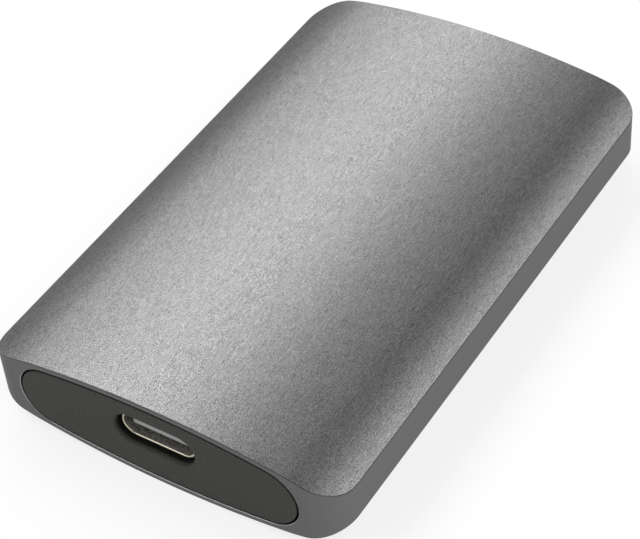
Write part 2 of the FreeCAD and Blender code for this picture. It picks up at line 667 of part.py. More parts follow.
def make_power_parts():
    """Inductors and regulators of the two supplies, to the right of the bridge and controller."""
    x = f"({BESIDE_CONTROLLER} + Sizes.inductor_size / 2)"
    for label, y in (("bridge", BRIDGE_Y), ("controller", CONTROLLER_Y)):
        body = new_body(f"{label}_inductor", x, y, BOARD_TOP)
        outline = new_sketch(body, "inductor_outline", "XY_Plane")
        centred_rectangle(outline, "Sizes.inductor_size", "Sizes.inductor_size")
        pad(body, "inductor", outline, "Sizes.inductor_thickness")
        uprights = edge_names(body, lambda edge: edge.BoundBox.ZLength > size("inductor_thickness") / 2)
        dress(body, "Fillet", "inductor_corners", uprights, "Radius", "Sizes.inductor_corner")
        keep(f"{label}_inductor", body)
        regulator_y = f"{y} - Sizes.inductor_size / 2 - Sizes.part_gap - Sizes.regulator_size / 2"
        regulator = box(
            f"{label}_regulator", "Sizes.regulator_size", "Sizes.regulator_size",
            "Sizes.regulator_thickness", x, regulator_y, BOARD_TOP,
        )
        keep(f"{label}_regulator", regulator)


def make_small_parts():
    """Rows of capacitors and resistors under the board, round the buffer memory."""
    capacitors = []
    resistors = []
    for side in (-1, 1):
        row_x = f"{side} * (Sizes.dram_width / 2 + Sizes.part_gap + Sizes.capacitor_length / 2)"
        for number in range(CAPACITORS_PER_ROW):
            offset = number - (CAPACITORS_PER_ROW - 1) / 2
            y = f"{CONTROLLER_Y} + {offset} * Sizes.capacitor_pitch"
            capacitors.append(
                box(
                    "capacitor", "Sizes.capacitor_length", "Sizes.capacitor_width",
                    "Sizes.capacitor_thickness", row_x, y, f"{BOARD_BOTTOM} - Sizes.capacitor_thickness",
                )
            )
        row_y = f"{BRIDGE_Y} + {side} * Sizes.resistor_pitch"
        for number in range(RESISTORS_PER_ROW):
            x = f"{number - (RESISTORS_PER_ROW - 1) / 2} * Sizes.resistor_pitch"
            resistors.append(
                box(
                    "resistor", "Sizes.resistor_width", "Sizes.resistor_length",
                    "Sizes.resistor_thickness", x, row_y, f"{BOARD_BOTTOM} - Sizes.resistor_thickness",
                )
            )
    keep_group("capacitors", capacitors)
    keep_group("resistors", resistors)


def make_screws():
    """Four pan-head screws that hold the board down on the tray's ledges."""
    members = []
    for x, y in screw_places():
        head = doc.addObject("Part::Cylinder", "screw_head")
        head.setExpression("Radius", "Sizes.head_diameter / 2")
        head.setExpression("Height", "Sizes.head_height")
        place(head, x, y, BOARD_TOP)
        shank = doc.addObject("Part::Cylinder", "screw_shank")
        shank.setExpression("Radius", "Sizes.screw_shank / 2 - Sizes.screw_clearance / 2")
        shank.setExpression("Height", "Sizes.board_thickness + Sizes.screw_bite")
        place(shank, x, y, f"{BOARD_BOTTOM} - Sizes.screw_bite")
        screw = doc.addObject("Part::Fuse", "screw")
        screw.Base = head
        screw.Tool = shank
        members.append(screw)
    keep_group("board_screws", members)


def make_thermal_pad():
    """Soft gap filler from the flash packages up to the tube's inner crown."""
    half = "Sizes.flash_width + Sizes.flash_gap / 2 - Sizes.pad_margin"
    along = "Sizes.flash_length - 2 * Sizes.pad_margin"
    body = new_body("thermal_pad", y=f"{FLASH_FRONT} + Sizes.flash_length / 2")
    sketch = new_sketch(body, "pad_section")
    crowned_section(sketch, half, f"{BOARD_TOP} + Sizes.flash_thickness", "Sizes.pad_clearance", 1)
    pad(body, "filler", sketch, along, symmetric=True)
    keep("thermal_pad", body)


def check_document():
    """Stop before anything is written if an object failed or a shape isn't sound."""
    doc.recompute()
    for item in doc.Objects:
        if {"Invalid", "Error"} & set(item.State):
            raise RuntimeError(f"{item.Label} failed: {item.State}")
    for item in sub_parts:
        if item.Shape.isNull() or not item.Shape.isValid():
            raise RuntimeError(f"{item.Label} has no sound shape")


def write_parts():
    """Write each sub-part to a file of its own."""
    os.makedirs("parts", exist_ok=True)
    for item in sub_parts:
        item.Shape.exportStep(f"parts/{item.Label}.step")


fill_sheet()
make_housing()
make_front_cap()
make_rear_cap()
make_tray()
make_board()
make_screws()
make_socket_shell()
make_socket_insulator()
make_socket_contacts()
make_packages()
make_crystals()
make_power_parts()
make_small_parts()
make_thermal_pad()
check_document()
write_parts()
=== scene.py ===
from math import atan2, cos, pi, radians, sin, sqrt

import bmesh
import bpy
from bpy.props import FloatProperty, FloatVectorProperty, PointerProperty
from mathutils import Matrix, Vector


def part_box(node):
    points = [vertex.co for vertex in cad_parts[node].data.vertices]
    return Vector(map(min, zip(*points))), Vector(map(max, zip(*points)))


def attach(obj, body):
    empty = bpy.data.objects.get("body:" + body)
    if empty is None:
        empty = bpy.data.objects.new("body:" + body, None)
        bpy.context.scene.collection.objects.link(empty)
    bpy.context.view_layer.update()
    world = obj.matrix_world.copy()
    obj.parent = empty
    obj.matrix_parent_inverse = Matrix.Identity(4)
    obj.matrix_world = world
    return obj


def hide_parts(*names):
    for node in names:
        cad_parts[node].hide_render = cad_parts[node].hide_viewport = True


bl_info = {
    "name": "Pocket Solid State Drive",
    "version": (1, 0, 0),
    "blender": (4, 5, 0),
    "location": "View3D > Sidebar > Drive",
    "description": "Models and finishes the visible pieces of a pocket solid state drive on its CAD frame",
    "category": "Object",
}

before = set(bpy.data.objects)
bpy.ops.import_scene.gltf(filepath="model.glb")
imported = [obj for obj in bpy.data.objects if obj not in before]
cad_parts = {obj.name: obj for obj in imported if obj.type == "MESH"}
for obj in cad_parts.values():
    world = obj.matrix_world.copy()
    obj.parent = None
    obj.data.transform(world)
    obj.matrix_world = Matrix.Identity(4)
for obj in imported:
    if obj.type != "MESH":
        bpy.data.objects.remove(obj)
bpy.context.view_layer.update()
BODY = "root"

MM = 0.001

# Points closer than MERGE are one point, and points closer than NEAR to a plane lie on it
MERGE = 1e-7
NEAR = 10 * MERGE

# Places from the frame
HOUSING_LOW, HOUSING_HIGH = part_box("housing")
FRONT_CAP_LOW, FRONT_CAP_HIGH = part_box("front_cap")
REAR_CAP_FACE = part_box("rear_cap")[1].y
SHELL_LOW, SHELL_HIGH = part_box("socket_shell")
TONGUE_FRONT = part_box("socket_insulator")[0].y
HALF_WIDTH = HOUSING_HIGH.x
HALF_HEIGHT = (HOUSING_HIGH.z - HOUSING_LOW.z) / 2
MID_PLANE = (HOUSING_HIGH.z + HOUSING_LOW.z) / 2
CAP_HALF_HEIGHT = (FRONT_CAP_HIGH.z - FRONT_CAP_LOW.z) / 2

# Half the height of the shell, whose ends are full round. Its box takes in its legs too.
SHELL_ROUND = 1.63 * MM
# Depth of the tongue's nose
TONGUE_NOSE = 0.3 * MM

# Steps round the bends
CROWN_COLUMNS = 20
SHOULDER_COLUMNS = 4
CORNER_SEGMENTS = 18
MOUTH_BEND_STEPS = 32
MOUTH_END_STEPS = 28
CAP_EDGE_SEGMENTS = 2
PORT_SEGMENTS = 16
LIP_SEGMENTS = 8
RIM_SEGMENTS = 4

# Faces that meet at a smaller angle are shaded as one bend, or are joined as one flat face
SMOOTH_ANGLE = radians(25)
FLAT_ANGLE = radians(1)

# Share of a half height that a full-round end is bevelled by, so that its two rounds don't meet
FULL_ROUND = 0.9999

# Share of a direction that runs along an axis: straight along it, leaning to it, or across it
ALONG = 0.999
LEANING = 0.5
ACROSS = 0.1

# Soft boxes: name, angle from overhead in degrees, distance and width in metres
KEY_BOX = ("key_box", -35.5, 0.7, 0.36)
LOW_PANEL = ("low_panel", -66, 0.8, 0.3)
FILL_BOX = ("fill_box", 43, 0.8, 0.6)
# Their length along the drive, and how far behind it their middle hangs
BOX_SPAN = 2.4
BOX_MIDDLE = 0.35

FLOOR_RADIUS = 30
FLOOR_SIDES = 64
FLOOR_GAP = 0.02 * MM
# Share of plain white in the floor that is seen. The rest is lit paper, which keeps the shadow.
FLOOR_WHITE = 0.75
# Width of the camera's sensor in millimetres, which the focal length goes with
SENSOR_WIDTH = 36


def linear(code):
    """Turns an sRGB hex colour into the linear colour that shaders read."""
    shares = [int(code[i:i + 2], 16) / 255 for i in (1, 3, 5)]
    return tuple(s / 12.92 if s <= 0.04045 else ((s + 0.055) / 1.055) ** 2.4 for s in shares)


def length(label, words, millimetres):
    """A length that a user may change."""
    return FloatProperty(name=label, description=words, default=millimetres * MM, subtype="DISTANCE")


def colour(label, words, code):
    """A colour that a user may change."""
    return FloatVectorProperty(
        name=label, description=words, default=linear(code), subtype="COLOR", size=3, min=0, max=1,
    )


def brightness(label, words, radiance):
    """A brightness that a user may change. At 1 a mirror shows it as white."""
    return FloatProperty(name=label, description=words, default=radiance, min=0)


class DriveSizes(bpy.types.PropertyGroup):
    """Sizes of the visible forms that the frame's boxes don't give."""

    crown_radius: length("Crown radius", "Bend of the crowned top and bottom across the drive", 95)
    shoulder_width: length("Shoulder width", "Width of the tighter bend beside each flat side", 6)
    side_height: length("Side height", "Height of the flat sides", 4.6)
    corner_radius: length("Corner radius", "Rounding of the four upright corners", 3.8)
    edge_break: length("Edge break", "Width of the broken edge round each crown", 0.06)
    edge_drop: length("Edge drop", "Height of the broken edge round each crown", 0.09)
    mouth_chamfer: length("Mouth chamfer", "Broken edge round each mouth of the tube", 0.07)
    cap_gap: length("Cap gap", "Gap all round a cap", 0.2)
    skirt_depth: length("Skirt depth", "How far a cap's skirt reaches in behind its plate", 1.5)
    skirt_wall: length("Skirt wall", "Wall of a cap's skirt", 0.9)
    cap_edge: length("Cap edge", "Broken edge round a cap's visible face", 0.1)
    port_clearance: length("Port clearance", "Gap between the socket's shell and the port's hole", 0.22)
    port_lip: length("Port lip", "Rounding of the port's lip", 0.4)
    rim_round: length("Shell rim", "Rounding of the socket shell's front rim", 0.09)
    tongue_reach: length("Tongue reach", "How far the tongue's nose stands in front of the frame's", 0.14)


class DriveColours(bpy.types.PropertyGroup):
    """Colours of the finishes that show."""

    aluminium: colour("Aluminium", "Dyed oxide on the tube", "#818182")
    cap: colour("Cap", "Moulded caps", "#343430")
    lining: colour("Lining", "Dull inside of the socket's shell", "#b4b4b0")
    plating: colour("Plating", "Nickel on the socket's shell", "#d4cfbb")
    resin: colour("Resin", "Moulded tongue of the socket", "#9c9c9c")
    gold: colour("Gold", "Contacts of the socket", "#e0b966")


class StudioSettings(bpy.types.PropertyGroup):
    """Camera and light."""

    azimuth: FloatProperty(
        name="Azimuth", description="Camera's turn about the drive from straight on the port",
        default=radians(35.613), subtype="ANGLE",
    )
    elevation: FloatProperty(
        name="Elevation", description="Camera's height above the horizon",
        default=radians(44.444), subtype="ANGLE",
    )
    roll: FloatProperty(
        name="Roll", description="Camera's turn about its own axis",
        default=radians(-5.341), subtype="ANGLE",
    )
    distance: length("Distance", "Camera to the point that it looks at", 216.22)
    aim: FloatVectorProperty(
        name="Aim", description="Point that the camera looks at",
        default=(0.034 * MM, -2.619 * MM, 3.309 * MM), subtype="XYZ", unit="LENGTH", size=3,
    )
    lens: FloatProperty(name="Lens", description="Focal length in millimetres", default=113.19, min=1)
    key: brightness("Key", "Brightness of the long soft box on the left", 2.75)
    low: brightness("Low", "Brightness of the low panel on the left", 0.58)
    fill: brightness("Fill", "Brightness of the long soft box on the right", 1.65)
    room: brightness("Room", "Brightness of the room", 0.3)


# Modelling


def start(piece=None):
    """Leaves nothing selected but the piece."""
    if bpy.context.object and bpy.context.mode != "OBJECT":
        bpy.ops.object.mode_set(mode="OBJECT")
    bpy.ops.object.select_all(action="DESELECT")
    if piece:
        piece.select_set(True)
        bpy.context.view_layer.objects.active = piece


def named(name):
    """Names the new primitive and puts its place into its mesh."""
    bpy.ops.object.transform_apply(location=True, rotation=True, scale=True)
    piece = bpy.context.active_object
    piece.name = name
    piece.data.name = name
    return piece


def add_block(name, low, high):
    """Adds a block between two corners."""
    start()
    low, high = Vector(low), Vector(high)
    bpy.ops.mesh.primitive_cube_add(size=1, location=(low + high) / 2, scale=high - low)
    return named(name)


def pick(piece, kind, test):
    """Selects the vertices, edges or faces that pass a test, in edit mode."""
    bpy.ops.mesh.select_mode(type=kind)
    bpy.ops.mesh.select_all(action="DESELECT")
    mesh = bmesh.from_edit_mesh(piece.data)
    for part in {"VERT": mesh.verts, "EDGE": mesh.edges, "FACE": mesh.faces}[kind]:
        if test(part):
            part.select_set(True)
    mesh.select_flush_mode()
    bmesh.update_edit_mesh(piece.data)


def runs_along(edge, axis):
    """Whether an edge is straight along an axis."""
    step = edge.verts[1].co - edge.verts[0].co
    return abs(step.normalized()[axis]) > ALONG


def bevel(offset, segments=1):
    """Bevels the selected edges evenly, whatever edges run into them."""
    bpy.ops.mesh.bevel(
        offset=offset, segments=segments, profile=0.5, affect="EDGES",
        clamp_overlap=False, loop_slide=False,
    )


def round_along(piece, axis, radius, segments):
    """Rounds a block's edges along an axis."""
    start(piece)
    bpy.ops.object.mode_set(mode="EDIT")
    pick(piece, "EDGE", lambda edge: runs_along(edge, axis))
    bevel(radius, segments)
    bpy.ops.object.mode_set(mode="OBJECT")


def cut(piece, cutter):
    """Cuts one piece out of another and deletes it."""
    start(piece)
    modifier = piece.modifiers.new("cut", "BOOLEAN")
    modifier.operation = "DIFFERENCE"
    modifier.solver = "EXACT"
    modifier.object = cutter
    bpy.ops.object.modifier_apply(modifier=modifier.name)
    bpy.data.objects.remove(cutter)


def smooth(piece):
    """Shades the round faces smoothly, leaves the edges sharp and keeps the large faces flat."""
    start(piece)
    bpy.ops.object.shade_smooth_by_angle(angle=SMOOTH_ANGLE)
    modifier = piece.modifiers.new("normals", "WEIGHTED_NORMAL")
    modifier.keep_sharp = True
    bpy.ops.object.modifier_apply(modifier=modifier.name)


def settle(piece, slot, *nodes):
    """Hands a finished piece to the frame in place of its nodes."""
    if not piece.data.polygons:
        raise RuntimeError(f"{piece.name} has no faces")
    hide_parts(*nodes)
    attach(piece, BODY)


def crown_height(x, sizes):
    """Height of the crown over the middle plane, x from the middle line."""
    x = abs(x)
    radius = sizes.crown_radius
    centre = HALF_HEIGHT - radius
    crown_end = HALF_WIDTH - sizes.shoulder_width
    if x <= crown_end:
        return centre + sqrt(radius ** 2 - x ** 2)
    joint = Vector((crown_end, centre + sqrt(radius ** 2 - crown_end ** 2)))
    outward = Vector((joint.x, joint.y - centre)) / radius
    step = Vector((HALF_WIDTH, sizes.side_height / 2)) - joint
    shoulder = -step.length_squared / (2 * step.dot(outward))
    middle = joint - shoulder * outward
    return middle.y + sqrt(max(shoulder ** 2 - (x - middle.x) ** 2, 0))


def crown_columns(sizes):
    """Places across the drive where the crown bends, the corners' own among them."""
    crown_end = HALF_WIDTH - sizes.shoulder_width
    corner = HALF_WIDTH - sizes.corner_radius
    reach = sizes.corner_radius - sizes.edge_break
    gap = corner - crown_end
    half = [crown_end * i / CROWN_COLUMNS for i in range(1, CROWN_COLUMNS + 1)]
    half += [crown_end + gap * i / SHOULDER_COLUMNS for i in range(1, SHOULDER_COLUMNS + 1)]
    half += [corner + reach * sin(i * pi / 2 / CORNER_SEGMENTS) for i in range(1, CORNER_SEGMENTS)]
    return [-x for x in reversed(half)] + [0] + half


def add_mouth_outline(name, half_width, half_height, y, sizes):
    """Adds a closed outline with a crown's bend above and below and full-round ends, and fills it."""
    drop = sizes.crown_radius - HALF_HEIGHT
    reach = drop + half_height
    end = (reach ** 2 - half_width ** 2 - drop ** 2) / (2 * (reach - half_width))
    side = half_width - end
    turn = atan2(side, drop)
    start()
    place = (-reach * sin(turn), y, MID_PLANE + reach * cos(turn) - drop)
    bpy.ops.mesh.primitive_plane_add(size=MM, location=place)
    piece = named(name)
    bpy.ops.object.mode_set(mode="EDIT")
    bpy.ops.mesh.select_mode(type="VERT")
    bpy.ops.mesh.select_all(action="SELECT")
    bpy.ops.mesh.merge(type="CENTER")
    arcs = (
        (-side, 0, pi - 2 * turn, MOUTH_END_STEPS),
        (0, drop, 2 * turn, MOUTH_BEND_STEPS),
        (side, 0, pi - 2 * turn, MOUTH_END_STEPS),
        (0, -drop, 2 * turn, MOUTH_BEND_STEPS),
    )
    for x, z, angle, steps in arcs:
        bpy.ops.mesh.spin(steps=steps, angle=angle, center=(x, y, MID_PLANE + z), axis=(0, 1, 0))
    bpy.ops.mesh.select_all(action="SELECT")
    bpy.ops.mesh.remove_doubles(threshold=MERGE)
    bpy.ops.mesh.edge_face_add()
    return piece


def thicken(depth):
    """Pulls the selected outline along Y into a closed solid, and leaves the new end selected."""
    bpy.ops.mesh.extrude_region_move(TRANSFORM_OT_translate={"value": (0, depth, 0)})


def point_outwards():
    """Turns all faces outwards."""
    bpy.ops.mesh.select_all(action="SELECT")
    bpy.ops.mesh.normals_make_consistent(inside=False)


# Finishes


def add_node(tree, kind, inputs=None, **settings):
    """Adds a node, with its settings, values and links."""
    node = tree.nodes.new(kind)
    for name, value in settings.items():
        setattr(node, name, value)
    for name, value in (inputs or {}).items():
        if isinstance(value, bpy.types.NodeSocket):
            tree.links.new(value, node.inputs[name])
        else:
            node.inputs[name].default_value = value
    return node


def rgba(tone):
    """A colour with full cover."""
    return (*tone, 1)


def shade(tone, factor):
    """The same hue, lighter or darker."""
    return tuple(min(1, share * factor) for share in tone)


def new_material(name):
    """An empty material, and the place on the piece that its patterns read."""
    material = bpy.data.materials.new(name)
    material.use_nodes = True
    tree = material.node_tree
    tree.nodes.clear()
    return material, tree, add_node(tree, "ShaderNodeTexCoord").outputs["Object"]


def finish_material(material, shader):
    """Links the shader to the material's output."""
    add_node(material.node_tree, "ShaderNodeOutputMaterial", {"Surface": shader.outputs[0]})
    return material


def grain(tree, place, size, contrast=(0.3, 0.7)):
    """Noise whose marks are about the given size across, spread over the whole range from 0 to 1."""
    noise = add_node(
        tree, "ShaderNodeTexNoise",
        {"Vector": place, "Scale": 1 / size, "Detail": 2.0, "Roughness": 0.55},
    )
    low, high = contrast
    return add_node(
        tree, "ShaderNodeMapRange",
        {"Value": noise.outputs["Fac"], "From Min": low, "From Max": high},
    ).outputs["Result"]


def blasted_aluminium(colours):
    """Anodised aluminium, bead blasted before the dye: the two crowns."""
    # The beads leave shallow pits over the lines of the extrusion, so the satin grey metal shows a fine
    # sharp grain that runs along the drive. Seen at a slant, its dyed oxide looks darker. Pits and lines
    # are about as wide as real ones, finer than a pixel, with more contrast so that they show.
    pit = 0.042 * MM
    pit_stretch = 2
    line = 0.063 * MM
    line_stretch = 20
    line_weight = 0.18
    material, tree, place = new_material("anodised_aluminium_blasted")
    short = add_node(tree, "ShaderNodeMapping", {"Vector": place, "Scale": (1, 1 / pit_stretch, 1)})
    long = add_node(tree, "ShaderNodeMapping", {"Vector": place, "Scale": (1, 1 / line_stretch, 1)})
    pits = grain(tree, short.outputs[0], pit, contrast=(0.45, 0.55))
    lines = grain(tree, long.outputs[0], line, contrast=(0.42, 0.58))
    marks = add_node(
        tree, "ShaderNodeMix", {"Factor": line_weight, "A": pits, "B": lines},
    ).outputs["Result"]
    dark, light = shade(colours.aluminium, 0.25), shade(colours.aluminium, 1.75)
    tone = add_node(
        tree, "ShaderNodeMix", {"Factor": marks, "A": rgba(dark), "B": rgba(light)}, data_type="RGBA",
    )
    bump = add_node(tree, "ShaderNodeBump", {"Height": pits, "Strength": 1.0, "Distance": 0.001 * MM})
    shader = add_node(
        tree, "ShaderNodeBsdfPrincipled",
        {
            "Base Color": tone.outputs["Result"], "Metallic": 1.0, "Roughness": 0.33,
            "Specular Tint": (0.5, 0.5, 0.5, 1), "Normal": bump.outputs[0],
        },
    )
    return finish_material(material, shader)


def milled_aluminium(colours):
    """Anodised aluminium, milled after the blast: sides, corners and ends."""
    # The cutter leaves a smooth dull grey, and the ends are faced across the extrusion. By the way each face
    # looks,
    # the sides are painted darker than the crowns and the ends darker still, blended round the corners:
    # painted shade for the dim surroundings that they reflect.
    cutter_mark = 0.12 * MM
    material, tree, place = new_material("anodised_aluminium_milled")
    facing = add_node(tree, "ShaderNodeTexCoord").outputs["Normal"]
    facing = add_node(tree, "ShaderNodeSeparateXYZ", {"Vector": facing}).outputs["Y"]
    facing = add_node(tree, "ShaderNodeMath", {0: facing}, operation="ABSOLUTE").outputs[0]
    # Painted shade: sides darker than the crowns, ends darker still, picked by the face's direction
    sides, ends = shade(colours.aluminium, 0.86), shade(colours.aluminium, 0.63)
    tone = add_node(
        tree, "ShaderNodeMix", {"Factor": facing, "A": rgba(sides), "B": rgba(ends)}, data_type="RGBA",
    )
    marks = grain(tree, place, cutter_mark)
    bump = add_node(tree, "ShaderNodeBump", {"Height": marks, "Strength": 1.0, "Distance": 0.001 * MM})
    shader = add_node(
        tree, "ShaderNodeBsdfPrincipled",
        {
            "Base Color": tone.outputs["Result"], "Metallic": 1.0, "Roughness": 0.4,
            "Specular Tint": (0.6, 0.6, 0.6, 1), "Normal": bump.outputs[0],
        },
    )
    return finish_material(material, shader)


def moulded_cap(colours):
    """Polycarbonate blend, moulded in a spark-eroded tool."""
    # The spark-eroded face scatters light, so the black plastic looks a dark, slightly mottled grey.
    # Down in the port's hole and in the gaps the colour fades to near-black with depth: painted shade.
    cell = 0.2 * MM
    painted_shade_full_depth = 0.5 * MM
    painted_shade_start_depth = 0.02 * MM
    material, tree, place = new_material("pc_abs_spark_texture")
    cells = grain(tree, place, cell, contrast=(0.4, 0.6))
    dark, light = shade(colours.cap, 0.75), shade(colours.cap, 1.25)
    face = add_node(
        tree, "ShaderNodeMix", {"Factor": cells, "A": rgba(dark), "B": rgba(light)}, data_type="RGBA",
    ).outputs["Result"]
    away = add_node(tree, "ShaderNodeSeparateXYZ", {"Vector": place}).outputs["Y"]
    away = add_node(tree, "ShaderNodeMath", {0: away}, operation="ABSOLUTE").outputs[0]
    unshaded_share = add_node(
        tree, "ShaderNodeMapRange",
        {"Value": away, "From Min": REAR_CAP_FACE - painted_shade_full_depth, "From Max": REAR_CAP_FACE - painted_shade_start_depth},
    ).outputs["Result"]
    # Painted shade: the near-black that the colour fades to deep in the hole and in the gaps
    plain = rgba(shade(colours.cap, 0.03))
    tone = add_node(
        tree, "ShaderNodeMix", {"Factor": unshaded_share, "A": plain, "B": face}, data_type="RGBA",
    )
    bump = add_node(tree, "ShaderNodeBump", {"Height": cells, "Strength": 1.0, "Distance": 0.006 * MM})
    shader = add_node(
        tree, "ShaderNodeBsdfPrincipled",
        {
            "Base Color": tone.outputs["Result"], "Roughness": 0.62, "IOR": 1.5,
            "Specular IOR Level": 0.2, "Normal": bump.outputs[0],
        },
    )
    return finish_material(material, shader)


def plain_finish(name, colour_value, mark, roughness, spread=0.1, depth=0.002, metallic=0.0):
    """A finish in one colour, with marks whose width and depth are in millimetres."""
    material, tree, place = new_material(name)
    marks = grain(tree, place, mark * MM)
    dark, light = shade(colour_value, 1 - spread), shade(colour_value, 1 + spread)
    tone = add_node(
        tree, "ShaderNodeMix", {"Factor": marks, "A": rgba(dark), "B": rgba(light)}, data_type="RGBA",
    )
    bump = add_node(tree, "ShaderNodeBump", {"Height": marks, "Strength": 1.0, "Distance": depth * MM})
    shader = add_node(
        tree, "ShaderNodeBsdfPrincipled",
        {
            "Base Color": tone.outputs["Result"], "Metallic": metallic, "Roughness": roughness,
            "Normal": bump.outputs[0],
        },
    )
    return finish_material(material, shader)


def bare_metal(name, colour_value, mark, roughness, spread=0.1, depth=0.002):
    """A plain metal finish."""
    return plain_finish(name, colour_value, mark, roughness, spread, depth, metallic=1.0)


def paint(piece, *materials):
    """Gives a piece its materials, the first one all over."""
    piece.data.materials.clear()
    for material in materials:
        piece.data.materials.append(material)


# Pieces


class DRIVE_OT_make_housing(bpy.types.Operator):
    """Models the crowned tube: a block with rounded corners, bent across and cut through by its mouth"""

    bl_idname = "drive.make_housing"
    bl_label = "Make Housing"

    WALL, CROWN, BORE, MOUTH_EDGE, CROWN_EDGE = range(5)
    # Shares of a face's normal: along the drive on an end, and upright on a crown or a broken edge
    END = 0.95
    CROWNED = 0.85
    SLOPED = 0.2

    def execute(self, context):
        sizes = context.scene.drive_sizes
        colours = context.scene.drive_colours
        piece = self.bend_block(sizes)
        self.break_edges(piece, sizes)
        self.cut_mouth(piece, sizes)
        smooth(piece)
        self.finish(piece, colours)
        settle(piece, "anodised_aluminium", "housing")
        return {"FINISHED"}

    def finish(self, piece, colours):
        """Gives walls, crowns, bore and edges their own finishes, in the order of their zones."""
        # Dull metal painted near-black: painted shade behind the gap round a cap
        bore = bare_metal(
            "anodised_aluminium_bore_painted_shade", shade(colours.aluminium, 0.12), mark=0.3, roughness=0.6,
        )
        # Metal painted lighter than the tube, a painted highlight that shows as a fine bright line round
        # each mouth
        mouth_highlight = bare_metal(
            "aluminium_edge_painted_highlight", shade(colours.aluminium, 1.3), mark=0.3, roughness=0.35, depth=0.0005,
        )
        # A dark hairline round each crown, where the blasted metal meets the milled sides: painted shade on
        # the broken edge
        crown_edge_shade = bare_metal(
            "anodised_aluminium_broken_edge_painted_shade", shade(colours.aluminium, 0.52), mark=0.3, roughness=0.4,
        )
        paint(
            piece, milled_aluminium(colours), blasted_aluminium(colours), bore, mouth_highlight, crown_edge_shade,
        )
        for face in piece.data.polygons:
            face.material_index = self.zone(face)

    def zone(self, face):
        """Which finish a face has, by its normal and by whether it looks outwards."""
        out = Vector((face.center.x, 0, face.center.z - MID_PLANE))
        if abs(face.normal.y) < self.END and out.dot(face.normal) < 0:
            return self.BORE if abs(face.normal.y) < ACROSS else self.MOUTH_EDGE
        if abs(face.normal.z) > self.CROWNED:
            return self.CROWN
        return self.CROWN_EDGE if abs(face.normal.z) > self.SLOPED else self.WALL

    def bend_block(self, sizes):
        """A block with rounded corners, a hair inside the tube, bent across into the two crowns."""
        hair = Vector((sizes.edge_break, sizes.edge_break, 0))
        piece = add_block("crowned_housing", HOUSING_LOW + hair, HOUSING_HIGH - hair)
        round_along(piece, 2, sizes.corner_radius - sizes.edge_break, CORNER_SEGMENTS)
        bpy.ops.object.mode_set(mode="EDIT")
        for x in crown_columns(sizes):
            bpy.ops.mesh.select_all(action="SELECT")
            bpy.ops.mesh.bisect(plane_co=(x, 0, 0), plane_no=(1, 0, 0), threshold=MERGE)
        mesh = bmesh.from_edit_mesh(piece.data)
        for x in sorted({round(vertex.co.x, 7) for vertex in mesh.verts}):
            drop = HALF_HEIGHT - crown_height(x, sizes)
            for side in (1, -1):
                pick(
                    piece, "VERT",
                    lambda v: abs(v.co.x - x) < MERGE * 2 and (v.co.z - MID_PLANE) * side > 0,
                )
                bpy.ops.transform.translate(value=(0, 0, -side * drop))
        return piece

    def break_edges(self, piece, sizes):
        """Pulls the walls out to the tube's size and in from the crowns, so that a broken edge is left."""
        pick(piece, "FACE", lambda face: abs(face.normal.z) < LEANING)
        bpy.ops.mesh.extrude_region_shrink_fatten(
            TRANSFORM_OT_shrink_fatten={"value": sizes.edge_break, "use_even_offset": True},
        )
        mesh = bmesh.from_edit_mesh(piece.data)
        mesh.verts.index_update()
        wall = {vertex.index for vertex in mesh.verts if vertex.select}
        for side in (1, -1):
            pick(piece, "VERT", lambda v: v.index in wall and (v.co.z - MID_PLANE) * side > 0)
            bpy.ops.transform.translate(value=(0, 0, -side * sizes.edge_drop))
        # Each end is joined to two halves and not to one face, because a face can't have a hole in it.
        for side, half in ((1, 1), (1, -1), (-1, 1), (-1, -1)):
            pick(
                piece, "FACE",
                lambda face: face.normal.y * side > ALONG and face.calc_center_median().x * half > 0,
            )
            bpy.ops.mesh.dissolve_faces()
        bpy.ops.object.mode_set(mode="OBJECT")

    def cut_mouth(self, piece, sizes):
        """Cuts the tube through and breaks the edge of both mouths."""
        over = MM
        mouth = add_mouth_outline(
            "mouth", FRONT_CAP_HIGH.x + sizes.cap_gap, CAP_HALF_HEIGHT + sizes.cap_gap,
            HOUSING_LOW.y - over, sizes,
        )
        thicken(HOUSING_HIGH.y - HOUSING_LOW.y + 2 * over)
        point_outwards()
        cut(piece, mouth)
        bpy.ops.object.mode_set(mode="EDIT")
        pick(piece, "EDGE", self.rims_mouth)
        bevel(sizes.mouth_chamfer)
        bpy.ops.object.mode_set(mode="OBJECT")

    def rims_mouth(self, edge):
        """Whether an edge lies on an end of the tube and runs round its bore, whose faces span the tube."""
        on_end = all(abs(abs(v.co.y) - HOUSING_HIGH.y) < NEAR for v in edge.verts)
        return on_end and any(
            abs(face.normal.y) < ACROSS and abs(face.calc_center_median().y) < MM
            for face in edge.link_faces
        )


